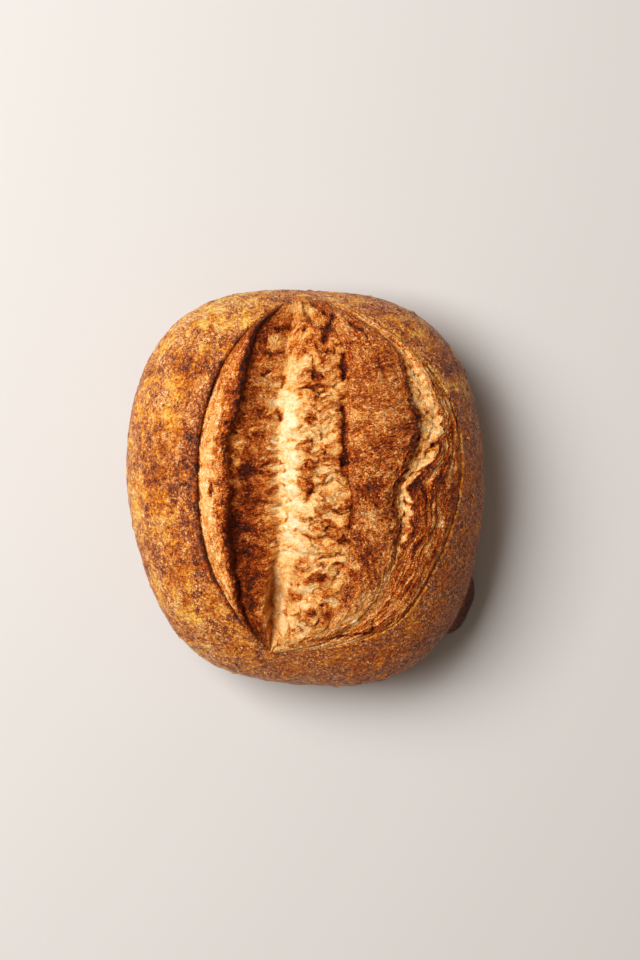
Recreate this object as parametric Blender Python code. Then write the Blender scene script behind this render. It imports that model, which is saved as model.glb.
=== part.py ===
"""A round sourdough loaf, baked on a hearth, that burst open along its score.

The loaf is one closed solid: a domed crown over a rounded waist and a flat base. The score runs from the
near end of the crown to its far end and has opened into an eye of torn crumb. A left ear stands over a
deep valley, a raft of crust floats in the middle, and a second tear splits the crust to its right.

Sizes are millimetres in the tables below and metres in the mesh. +Z is up and +Y is the loaf's far end.
"""

import math

import bmesh
import bpy
import numpy as np
from mathutils import Vector, noise

MM = 0.001

# The body of the loaf.
LOAF_HEIGHT = 96.0
WAIST_HEIGHT = 38.0
MEAN_RADIUS = 112.7
# The waist seen from above is a rounded square: a circle plus a few waves, (cosine, sine) by turns per lap.
OUTLINE_WAVES = {
    1: (0.7, 2.2),
    2: (-6.7, -2.0),
    3: (-0.5, 1.5),
    4: (-3.8, 0.3),
    6: (1.4, -0.1),
}
BASE_SHARE = 0.80
CROWN_POWERS = (2.4, 2.1)
FLANK_POWER = 2.1

# A lump of dough that burst out under the near right shoulder.
FOOT_ANGLE = math.radians(-37.0)
FOOT_HALF_ANGLE = math.radians(11.0)
FOOT_HEIGHT = 9.0
FOOT_HALF_HEIGHT = 11.0
FOOT_REACH = 15.0

# The lines that the score opened along, from its near end to its far end, as (x, y, lift above the crown).
# The stations lie closer together at the ends, where the lines bend most.
STATION_AT = (0.0, 0.0625, 0.125, 0.25, 0.375, 0.5, 0.625, 0.75, 0.875, 0.9375, 1.0)
LEFT_SKIN = (
    (-19, -92, 0.0), (-27, -84, 0.3), (-36, -73, 0.7), (-51, -48, 1.2), (-58, -23, 1.4), (-60, 2, 1.5),
    (-59, 27, 1.5), (-53, 53, 1.3), (-42, 77, 0.9), (-30, 92, 0.5), (-13, 106, 0.0),
)
EAR_TIP = (
    (-19, -92, 0.0), (-27, -85, 0.4), (-34, -74, 0.9), (-40, -49, 3.2), (-44, -22, 4.6), (-44, 2, 4.8),
    (-43, 27, 5.2), (-36, 52, 5.4), (-33, 74, 4.0), (-27, 92, 2.4), (-13, 106, 0.0),
)
VALLEY = (
    (-19, -92, 0.0), (-20, -84, -9.0), (-22, -73, -13.0), (-16, -47, -14.0), (-14, -22, -13.0),
    (-13, 2, -12.5), (-14, 27, -12.0), (-13, 52, -10.5), (-11, 75, -7.5), (-11, 91, -4.5), (-13, 106, 0.0),
)
MID_RIDGE = (
    (-19, -92, 0.0), (-10, -87, 0.0), (-1, -80, 0.0), (18, -47, 1.0), (24, -22, 2.0), (24, 2, 2.4),
    (21, 27, 2.6), (22, 52, 2.2), (21, 77, 1.4), (11, 95, 0.7), (-13, 106, 0.0),
)
TEAR_EDGE = (
    (-19, -92, 0.0), (-2, -89, 0.2), (10, -84, 0.4), (39, -62, 0.6), (51, -31, 1.0), (51, -1, 1.8),
    (63, 32, 2.6), (58, 55, 2.2), (46, 84, 0.8), (19, 100, 0.3), (-13, 106, 0.0),
)
RIGHT_SKIN = (
    (-19, -92, 0.0), (-1, -90, 0.3), (17, -88, 0.6), (54, -73, 0.8), (78, -34, 0.9), (88, 2, 0.9),
    (87, 32, 0.9), (77, 59, 0.8), (52, 86, 0.4), (21, 103, 0.1), (-13, 106, 0.0),
)
# How far the second tear opens towards the right skin edge, as a share of the way, at every sixteenth of
# the line. It pinches together once, half of the way along.
TEAR_SHARE = (0.0, 0.0, 0.0, 0.0, 0.0, 0.02, 0.10, 0.32, 0.15, 0.44, 0.50, 0.52, 0.54, 0.60, 0.58, 0.4, 0.2)
MIN_TEAR_SHARE = 0.06

# Depths that the section between the lines falls or rises to.
CUT_DEPTH = 1.6
EAR_FOOT_DEPTH = 8.0
SLOPE_DEPTH = 10.0
PALE_STEP = 6.5
FLAKE_STEP = 1.5
RIDGE_CRACK = 2.4
RAFT_CROWN = 2.4
TEAR_DEPTH = 3.6
SKIN_LIP_REACH = 7.0

# Lumps and crags: (height, size) of each.
SKIN_LUMPS = (0.7, 34.0)
CRAGS = (1.5, 8.0)
SEED_OFFSET = Vector((3.7, 11.3, 5.1))

# How finely the mesh follows the shape.
STATIONS = 54
RINGS = 23
GAP_CUTS = (1, 2, 2, 1, 2, 3, 3, 2, 3, 3, 1, 4, 4, 1, 2, 1, 3, 3, 1)


def outline_radius(angle):
    """The waist's radius at an angle round the loaf."""
    waves = sum(c * np.cos(k * angle) + s * np.sin(k * angle) for k, (c, s) in OUTLINE_WAVES.items())
    return MEAN_RADIUS + waves


def outline_centre():
    """The middle of the waist's box, which is put over the origin."""
    angle = np.linspace(0.0, 2.0 * math.pi, 721)
    x = outline_radius(angle) * np.cos(angle)
    y = outline_radius(angle) * np.sin(angle)
    return Vector(((x.min() + x.max()) / 2, (y.min() + y.max()) / 2, 0.0))


def body_point(angle, sweep):
    """A point of the plain body: sweep 0 is the crown's top, a quarter turn the waist, a half turn the base."""
    quarter = math.pi / 2
    if sweep <= quarter:
        spread, rise = CROWN_POWERS
        share = math.sin(sweep) ** (2 / spread)
        height = WAIST_HEIGHT + (LOAF_HEIGHT - WAIST_HEIGHT) * max(math.cos(sweep), 0.0) ** (2 / rise)
    else:
        below = sweep - quarter
        share = BASE_SHARE + (1 - BASE_SHARE) * max(math.cos(below), 0.0) ** (2 / FLANK_POWER)
        height = WAIST_HEIGHT * (1 - math.sin(below) ** (2 / FLANK_POWER))
    turn = (angle - FOOT_ANGLE + math.pi) % (2 * math.pi) - math.pi
    level = (height - FOOT_HEIGHT) / FOOT_HALF_HEIGHT
    foot = FOOT_REACH * math.exp(-((turn / FOOT_HALF_ANGLE) ** 4)) * math.exp(-(level**2))
    radius = outline_radius(angle) * share + foot
    return Vector((radius * math.cos(angle), radius * math.sin(angle), height))


def crown_sweep(x, y):
    """The sweep at which the plain crown stands over a point of the plan."""
    share = min(math.hypot(x, y) / outline_radius(math.atan2(y, x)), 1.0)
    return math.asin(share ** (CROWN_POWERS[0] / 2))


def body_normal(angle, sweep):
    """The outward direction of the plain body."""
    step = 0.01
    along = body_point(angle, sweep + step) - body_point(angle, max(sweep - step, 0.0))
    around = body_point(angle + step, sweep) - body_point(angle - step, sweep)
    normal = along.cross(around)
    return normal.normalized() if normal.length > 1e-6 else Vector((0.0, 0.0, 1.0))


def lifted(x, y, lift):
    """A point over the plan, lifted off the plain crown."""
    angle, sweep = math.atan2(y, x), crown_sweep(x, y)
    return body_point(angle, sweep) + body_normal(angle, max(sweep, 0.02)) * lift


def smooth_line(points):
    """A line through its points, as one row of (x, y, lift) for each station of the mesh."""
    knots, at = np.array(points, float), np.array(STATION_AT)
    slopes = np.gradient(knots, at, axis=0)
    v = np.linspace(0.0, 1.0, STATIONS + 1)
    left = np.clip(np.searchsorted(at, v, side="right") - 1, 0, len(at) - 2)
    width = (at[left + 1] - at[left])[:, None]
    t = (v - at[left])[:, None] / width
    return (
        knots[left] * (1 + 2 * t) * (1 - t) ** 2
        + slopes[left] * width * t * (1 - t) ** 2
        + knots[left + 1] * t**2 * (3 - 2 * t)
        + slopes[left + 1] * width * t**2 * (t - 1)
    )


def between(a, b, share, lift):
    """A line part of the way from a to b in plan, lifted by its own amount."""
    line = a + (b - a) * np.reshape(share, (-1, 1))
    line[:, 2] = lift
    return line


def section_lines():
    """Every line across the opening, from the left skin edge to the right one."""
    v = np.linspace(0.0, 1.0, STATIONS + 1)
    fade = np.sin(math.pi * v) ** 0.4
    left, tip, valley = smooth_line(LEFT_SKIN), smooth_line(EAR_TIP), smooth_line(VALLEY)
    ridge, tear, right = smooth_line(MID_RIDGE), smooth_line(TEAR_EDGE), smooth_line(RIGHT_SKIN)
    opened = np.interp(v, (0.30, 0.40, 0.88, 0.94), (0.0, 1.0, 1.0, 0.0))
    reach = np.interp(v, np.linspace(0.0, 1.0, len(TEAR_SHARE)), TEAR_SHARE)
    reach = np.maximum(reach, MIN_TEAR_SHARE)
    floor = tear[:, 2] - TEAR_DEPTH * opened
    return [
        left,
        between(left, tip, 0.12, left[:, 2] - CUT_DEPTH * fade),
        between(left, tip, 0.55, tip[:, 2] * 0.45),
        tip,
        between(tip, valley, -0.03, tip[:, 2] * 0.2),
        between(tip, valley, 0.16, valley[:, 2] * EAR_FOOT_DEPTH / 13.0),
        between(tip, valley, 0.60, valley[:, 2] * SLOPE_DEPTH / 13.0),
        valley,
        between(valley, ridge, 0.25, valley[:, 2] + PALE_STEP * fade),
        between(valley, ridge, 0.62, ridge[:, 2] - FLAKE_STEP * fade),
        ridge,
        between(ridge, tear, 0.07, ridge[:, 2] - RIDGE_CRACK * fade),
        between(ridge, tear, 0.50, (ridge[:, 2] + tear[:, 2]) / 2 + RAFT_CROWN * fade),
        tear,
        between(tear, right, 0.03, floor),
        between(tear, right, reach * 0.85, floor + 0.8 * opened),
        between(tear, right, reach + 0.03, tear[:, 2] - 0.4 * opened),
        between(tear, right, 0.5 + reach / 2, right[:, 2] + 0.4 * fade),
        between(tear, right, 0.96, right[:, 2] - CUT_DEPTH * 0.7 * fade),
        right,
    ]


def columns_between(lines):
    """The section's lines with evenly spaced columns of the mesh between them."""
    columns = [lines[0]]
    for cuts, a, b in zip(GAP_CUTS, lines, lines[1:]):
        columns += [a + (b - a) * (k / cuts) for k in range(1, cuts + 1)]
    return columns


def crag(point, depth):
    """The rough relief of torn crumb at a point, stronger in the deep and open parts."""
    height, size = CRAGS
    return height * depth * noise.fractal(point / size + SEED_OFFSET, 1.0, 2.0, 3)


def place_opening(bm, columns):
    """Lays the grid's columns along the score's lines and roughens what lies between the skin edges."""
    last = len(columns) - 1
    for vert in bm.verts:
        column = round((vert.co.x + 1) / 2 * last)
        station = round((vert.co.y + 1) / 2 * STATIONS)
        x, y, lift = columns[column][station]
        inside = math.sin(math.pi * column / last) ** 0.5 * math.sin(math.pi * station / STATIONS)
        point = lifted(x, y, lift)
        vert.co = lifted(x, y, lift + crag(point, max(inside, 0.0)))


def grow_body(bm):
    """Extrudes the opening's rim outwards, over the waist and down to the base, one ring at a time."""
    rim = [edge for edge in bm.edges if edge.is_boundary]
    verts = {vert for edge in rim for vert in edge.verts}
    start = sorted((math.atan2(v.co.y, v.co.x), crown_sweep(v.co.x, v.co.y)) for v in verts)
    angles, sweeps = zip(*start)
    lip = {round(a, 5): v for a, v in zip(angles, sweeps)}
    edges = rim
    for ring in range(1, RINGS + 1):
        grown = bmesh.ops.extrude_edge_only(bm, edges=edges)["geom"]
        edges = [item for item in grown if isinstance(item, bmesh.types.BMEdge) and item.is_boundary]
        for vert in {vert for edge in edges for vert in edge.verts}:
            angle = math.atan2(vert.co.y, vert.co.x)
            first = lip.get(round(angle, 5), np.interp(angle, angles, sweeps))
            share = (ring / RINGS) ** 1.15
            sweep = first + (math.pi - first) * share
            vert.co = skin_point(angle, first, sweep)
    return edges


def skin_point(angle, first, sweep):
    """A point of the outer crust: it lies low along the skin edge's lip and rolls in soft lumps."""
    plain = body_point(angle, sweep)
    away = (plain - body_point(angle, first)).length
    lip = np.interp(math.cos(angle), (-1.0, 1.0), (1.5, 0.9)) * math.exp(-away / SKIN_LIP_REACH)
    height, size = SKIN_LUMPS
    settled = min(plain.z / WAIST_HEIGHT, 1.0) * (1 - math.exp(-away / SKIN_LIP_REACH))
    lump = height * settled * noise.noise(plain / size + SEED_OFFSET)
    return plain + body_normal(angle, sweep) * (lip * (plain.z > WAIST_HEIGHT) + lump)


def crust_material():
    """Baked crust: golden brown, with a dull shine."""
    material = bpy.data.materials.new("crust")
    material.use_nodes = True
    shader = material.node_tree.nodes["Principled BSDF"]
    shader.inputs["Base Color"].default_value = (0.45, 0.18, 0.05, 1.0)
    shader.inputs["Roughness"].default_value = 0.6
    shader.inputs["Metallic"].default_value = 0.0
    return material


def build_loaf():
    """The whole loaf as one object."""
    columns = columns_between(section_lines())
    bm = bmesh.new()
    bmesh.ops.create_grid(bm, x_segments=len(columns) - 1, y_segments=STATIONS, size=1.0)
    place_opening(bm, columns)
    bmesh.ops.remove_doubles(bm, verts=bm.verts, dist=0.001)
    base_edges = grow_body(bm)
    bmesh.ops.contextual_create(bm, geom=base_edges)
    bmesh.ops.translate(bm, verts=bm.verts, vec=-outline_centre())
    bmesh.ops.scale(bm, verts=bm.verts, vec=(MM, MM, MM))
    bmesh.ops.triangulate(bm, faces=bm.faces)
    bmesh.ops.recalc_face_normals(bm, faces=bm.faces)
    mesh = bpy.data.meshes.new("loaf")
    bm.to_mesh(mesh)
    bm.free()
    mesh.shade_smooth()
    mesh.set_sharp_from_angle(angle=math.radians(50))
    mesh.materials.append(crust_material())
    loaf = bpy.data.objects.new("loaf", mesh)
    bpy.context.scene.collection.objects.link(loaf)
    return loaf


def main():
    for obj in list(bpy.data.objects):
        bpy.data.objects.remove(obj)
    build_loaf()


main()
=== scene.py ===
# %% [markdown]
# # A sourdough loaf that burst open along its score
#
# A hearth loaf is a dome of dough with a tight, floured skin. The baker cuts it once, from the near end to
# the far end. In the oven the cut opens like an eye: the skin peels back on both sides, one lip of the cut
# stands up as an "ear" and burns dark, and pale crumb tears open between. This script dresses the plain
# solid of such a loaf. It makes two pieces: the outer crust, and the torn bloom that shows in the opening.

# %% Load the frame and the tools
import math

import bmesh
import bpy
import numpy as np
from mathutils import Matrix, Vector, noise


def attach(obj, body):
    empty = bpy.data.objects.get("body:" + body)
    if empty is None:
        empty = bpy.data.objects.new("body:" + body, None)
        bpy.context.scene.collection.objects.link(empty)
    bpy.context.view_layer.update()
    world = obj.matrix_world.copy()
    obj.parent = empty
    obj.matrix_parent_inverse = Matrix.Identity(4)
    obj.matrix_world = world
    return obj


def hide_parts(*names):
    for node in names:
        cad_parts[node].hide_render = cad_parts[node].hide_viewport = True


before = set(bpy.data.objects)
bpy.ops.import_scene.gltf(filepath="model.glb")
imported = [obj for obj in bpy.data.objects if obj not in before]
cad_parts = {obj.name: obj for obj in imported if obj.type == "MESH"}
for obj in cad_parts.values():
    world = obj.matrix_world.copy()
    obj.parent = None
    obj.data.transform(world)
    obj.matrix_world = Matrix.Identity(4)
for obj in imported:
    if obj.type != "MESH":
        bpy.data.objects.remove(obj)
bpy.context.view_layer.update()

MM = 0.001

# %% [markdown]
# ## The body of the loaf
#
# A lathe can't make this body, because seen from above it is a rounded square and not a circle. A formula
# can: the waist's radius is a circle plus a few waves round the loaf, and a sweep angle runs from the top
# of the crown, over the waist, to the base. Powers a little over 2 make the dome fuller than an ellipse.
# All the tables are in millimetres, because that is how a loaf is measured.

# %% The body's sizes
LOAF_HEIGHT = 96.0
WAIST_HEIGHT = 38.0
MEAN_RADIUS = 112.7
OUTLINE_WAVES = {
    # waves round the loaf: (cosine part, sine part)
    1: (0.7, 2.2),
    2: (-6.7, -2.0),
    3: (-0.5, 1.5),
    4: (-3.8, 0.3),
    6: (1.4, -0.1),
}
# The base's radius as a share of the waist's
BASE_SHARE = 0.80
# The crown's powers are for its spread outwards and for its rise.
CROWN_POWERS = (2.4, 2.1)
FLANK_POWER = 2.1
# The lump of dough that burst out at the base
FOOT_ANGLE = math.radians(-37.0)
FOOT_HALF_ANGLE = math.radians(11.0)
FOOT_HEIGHT = 9.0
FOOT_HALF_HEIGHT = 11.0
FOOT_REACH = 15.0


def outline_radius(angle):
    """The waist's radius at each angle round the loaf."""
    waves = sum(c * np.cos(k * angle) + s * np.sin(k * angle) for k, (c, s) in OUTLINE_WAVES.items())
    return MEAN_RADIUS + waves


def outline_centre():
    """The middle of the waist's box, which lies over the frame's origin."""
    angle = np.linspace(0.0, 2.0 * math.pi, 721)
    x = outline_radius(angle) * np.cos(angle)
    y = outline_radius(angle) * np.sin(angle)
    return np.array(((x.min() + x.max()) / 2, (y.min() + y.max()) / 2, 0.0))


def body_points(angle, sweep):
    """Points of the plain body: the sweep is 0 on top, a quarter turn at the waist, a half turn below."""
    spread, rise = CROWN_POWERS
    upper = np.minimum(sweep, math.pi / 2)
    lower = np.maximum(sweep - math.pi / 2, 0.0)
    share = np.maximum(np.sin(upper), 0.0) ** (2 / spread)
    share = share - (1 - BASE_SHARE) * (1 - np.maximum(np.cos(lower), 0.0) ** (2 / FLANK_POWER))
    height = WAIST_HEIGHT + (LOAF_HEIGHT - WAIST_HEIGHT) * np.maximum(np.cos(upper), 0.0) ** (2 / rise)
    height = height - WAIST_HEIGHT * np.maximum(np.sin(lower), 0.0) ** (2 / FLANK_POWER)
    turn = (angle - FOOT_ANGLE + math.pi) % (2 * math.pi) - math.pi
    level = (height - FOOT_HEIGHT) / FOOT_HALF_HEIGHT
    foot = FOOT_REACH * np.exp(-((turn / FOOT_HALF_ANGLE) ** 4) - level**2)
    radius = outline_radius(angle) * share + foot
    return np.stack((radius * np.cos(angle), radius * np.sin(angle), height), axis=-1)


def body_normals(angle, sweep):
    """The outward directions of the plain body."""
    step = 0.01
    along = body_points(angle, sweep + step) - body_points(angle, np.maximum(sweep - step, 0.0))
    around = body_points(angle + step, sweep) - body_points(angle - step, sweep)
    normals = np.cross(along, around)
    return normals / np.maximum(np.linalg.norm(normals, axis=-1, keepdims=True), 1e-9)


def crown_sweep(x, y):
    """The sweep at which the plain crown stands over each point of the plan."""
    share = np.minimum(np.hypot(x, y) / outline_radius(np.arctan2(y, x)), 1.0)
    return np.arcsin(share ** (CROWN_POWERS[0] / 2))


print("waist radius from", outline_radius(np.linspace(0.0, 2 * math.pi, 361)).min().round(1), "mm")

# %% [markdown]
# ## Noise with a grain
#
# Bread is uneven at every scale, and unevenness needs a grain size: blisters are 2 mm, fibres are 2 mm
# thick and 9 mm long, lumps are 9 mm, and the crown swells over 34 mm. One helper reads Blender's noise at
# points divided by that size.
# A size of three numbers stretches the grain, which is how fibres and streaks are made.

# %% Noise helpers
def grain(points, size, seed=0.0, octaves=1):
    """Smooth noise of about -1 to 1 at each point, with grains of the given size."""
    scaled = (points / np.array(size) + np.array((seed, 1.7 * seed, 5.3 - seed))).reshape(-1, 3).tolist()
    if octaves == 1:
        values = [noise.noise(place) for place in scaled]
    else:
        values = [noise.fractal(place, 1.0, 2.0, octaves) for place in scaled]
    return np.array(values).reshape(points.shape[:-1])


def ridges(points, size, seed=0.0, octaves=1):
    """Noise turned into sharp crests: 1 on a crest, falling to about 0."""
    return 1.0 - 2.0 * np.abs(grain(points, size, seed, octaves))


def step_up(x, low, high):
    """A smooth step from 0 at low to 1 at high."""
    t = np.clip((x - low) / (high - low), 0.0, 1.0)
    return t * t * (3 - 2 * t)


def plates(points, size, seed=0.0, sharpness=7.0):
    """Noise pushed to two levels with short slopes between: torn flakes, from -1 to 1."""
    return np.tanh(sharpness * grain(points, size, seed, 2))


def flakes(points, size, seed=0.0):
    """Torn flakes: for each point the level of its flake, -1 to 1, and how far the flake leans up there."""
    scaled = (points / np.array(size) + seed).reshape(-1, 3)
    middles = np.array([noise.voronoi(place)[1][0] for place in scaled.tolist()])
    # Any number that differs from one middle to the next will do for the level and for the way to lean.
    level = np.sin(1000.0 * middles @ np.array((1.27, 3.11, 0.74)))
    uphill = np.column_stack((np.cos(9.0 * level), np.sin(9.0 * level)))
    lean = ((scaled - middles)[:, :2] * uphill).sum(axis=1)
    return level.reshape(points.shape[:-1]), lean.reshape(points.shape[:-1])


# %% [markdown]
# ## The lines of the score
#
# Seen from above, the opening is an eye with a sharp corner at the loaf's near end and a blunt one at its far
# end, where a last strip of skin held and stretched. Six lines run from end to end, each with its own lift
# above or below the plain crown: the left skin edge, the tip of the ear, the bottom of the valley, the ridge
# in the middle, the edge of the second tear, and the right skin edge. Eleven stations are enough for each,
# closer together at the ends, where the lines bend most.

# %% The six lines
STATION_AT = (0.0, 0.0625, 0.125, 0.25, 0.375, 0.5, 0.625, 0.75, 0.875, 0.9375, 1.0)
LEFT_SKIN = (
    (-19, -92, 0.0), (-27, -84, 0.3), (-36, -73, 0.7), (-51, -48, 1.2), (-58, -23, 1.4), (-60, 2, 1.5),
    (-59, 27, 1.5), (-53, 53, 1.3), (-42, 77, 0.9), (-30, 92, 0.5), (-14, 105, 0.0),
)
EAR_TIP = (
    (-19, -92, 0.0), (-27, -85, 0.4), (-34, -74, 0.9), (-40, -49, 2.9), (-44, -22, 4.2), (-44, 2, 4.2),
    (-43, 27, 4.4), (-36, 52, 4.5), (-32, 74, 3.8), (-25, 91, 3.2), (-12, 105.5, 0.0),
)
VALLEY = (
    (-19, -92, 0.0), (-20, -84, -13.0), (-21, -73, -19.0), (-17, -47, -17.5), (-14, -22, -13.5),
    (-13, 2, -12.5), (-14, 27, -12.0), (-13, 52, -10.5), (-11, 75, -7.5), (-8, 92, -4.5), (-5, 107, 0.0),
)
MID_RIDGE = (
    (-19, -92, 0.0), (-5, -88, 0.0), (8, -81, 0.0), (22, -49, 1.0), (24, -22, 2.0), (24, 2, 2.4),
    (21, 27, 2.6), (22, 52, 2.2), (21, 77, 1.4), (13, 96, 0.7), (4, 108, 0.0),
)
TEAR_EDGE = (
    (-19, -92, 0.0), (-2, -89, 0.2), (13, -84, 0.4), (40, -62, 0.6), (51, -31, 1.0), (51, -1, 1.8),
    (63, 32, 2.6), (58, 55, 2.2), (46, 84, 0.8), (23, 101, 0.3), (9, 108, 0.0),
)
RIGHT_SKIN = (
    (-19, -92, 0.0), (-1, -90, 0.3), (17, -88, 0.6), (54, -73, 0.8), (78, -34, 0.9), (88, 2, 0.9),
    (87, 32, 0.9), (77, 59, 0.8), (52, 86, 0.4), (27, 103, 0.1), (13, 108, 0.0),
)
# The second tear's width as a share of the way to the right skin edge, at every sixteenth of the loaf.
TEAR_SHARE = (0, 0, 0, 0, 0, 0.02, 0.10, 0.30, 0.12, 0.42, 0.50, 0.52, 0.54, 0.60, 0.58, 0.4, 0.2)
# The number of cells along the score, and its length
STATIONS = 332
LOAF_RUN = 200.0

# v runs from 0 at the near end of the score to 1 at its far end.
v = np.linspace(0.0, 1.0, STATIONS + 1)
# Raggedness and lifts fade out towards both ends of the score.
fade = np.sin(math.pi * v) ** 0.4
run = np.column_stack((v * LOAF_RUN, np.zeros_like(v), np.zeros_like(v)))


def cubic(knots, slopes, knots_at, at):
    """A smooth curve through rows of knots with the given slopes, read at new places."""
    left = np.clip(np.searchsorted(knots_at, at, side="right") - 1, 0, len(knots_at) - 2)
    one_a_row = (-1,) + (1,) * (knots.ndim - 1)
    width = (knots_at[left + 1] - knots_at[left]).reshape(one_a_row)
    t = (at - knots_at[left]).reshape(one_a_row) / width
    return (
        knots[left] * (1 + 2 * t) * (1 - t) ** 2
        + slopes[left] * width * t * (1 - t) ** 2
        + knots[left + 1] * t**2 * (3 - 2 * t)
        + slopes[left + 1] * width * t**2 * (t - 1)
    )


def smooth_line(points):
    """A curve through the points, as one row of (x, y, lift) for each station."""
    knots, knots_at = np.array(points, float), np.array(STATION_AT)
    return cubic(knots, np.gradient(knots, knots_at, axis=0), knots_at, v)


def ragged(line, seed, *sizes):
    """The line with a torn edge: each (width, grain) of sizes moves it sideways."""
    torn = line.copy()
    for width, size in sizes:
        torn[:, 0] += width * fade * grain(run, size, seed, 2)
    return torn


left_skin = smooth_line(LEFT_SKIN)
right_skin = smooth_line(RIGHT_SKIN)
ear_tip = ragged(smooth_line(EAR_TIP), 1.0, (1.6, 20.0), (1.3, 6.0), (0.8, 2.5))
valley = ragged(smooth_line(VALLEY), 2.0, (2.5, 18.0), (2.6, 6.0), (1.2, 2.5))
mid_ridge = ragged(smooth_line(MID_RIDGE), 3.0, (1.2, 16.0), (0.9, 4.0))
tear_edge = ragged(smooth_line(TEAR_EDGE), 4.0, (1.2, 12.0), (1.0, 3.5), (0.6, 1.5))
print("lines run from", left_skin[0, :2], "to", left_skin[-1, :2])

# %% [markdown]
# ## The section across the bloom
#
# A cut across the bloom goes: skin edge, groove, the ear's golden back, its burnt crest, an overhang, the
# brown slope, the pale valley, flaky crumb, the ridge, the raft of crust, the second tear with its ragged
# far edge, and a streaked slope up to the right skin edge. Each of these takes one knot of the section, or
# a few. A knot has a place between two of the six lines, a lift, and a tone: how far it is baked, from 0,
# raw cream, to 1, burnt. The tone is given at evenly spaced places from the near end to the far end.

# %% The knots of the section
def knot(a, b, share, lift, tones):
    """A knot part of the way from line a to line b: rows of (x, y, lift, tone)."""
    plan = a[:, :2] + (b[:, :2] - a[:, :2]) * np.reshape(share, (-1, 1))
    steps = np.linspace(0.0, 1.0, len(tones))
    return np.column_stack((plan, lift * np.ones_like(v), np.interp(v, steps, tones)))


opened = np.interp(v, (0.30, 0.40, 0.88, 0.94), (0.0, 1.0, 1.0, 0.0))
healed = step_up(v, 0.84, 0.92)
tear_share = np.interp(v, np.linspace(0.0, 1.0, len(TEAR_SHARE)), TEAR_SHARE)
tear_share = np.maximum(tear_share + 0.07 * opened * grain(run, 5.0, 9.0, 3), 0.03)
tip, low = ear_tip[:, 2], valley[:, 2]
mid, edge, rim_lift = mid_ridge[:, 2], tear_edge[:, 2], right_skin[:, 2]
tear_floor = edge - 2.5 * opened
# Near the near end, the slope stays high and drops to the valley as a cliff. The ear hangs over a deeper
# hollow in the near half, and the ridge has a crack beside it in the far half.
cliff = 1.0 - step_up(v, 0.18, 0.34)
hollow = 1.0 - step_up(v, 0.44, 0.56)
cracked = fade * step_up(v, 0.34, 0.44)

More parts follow.
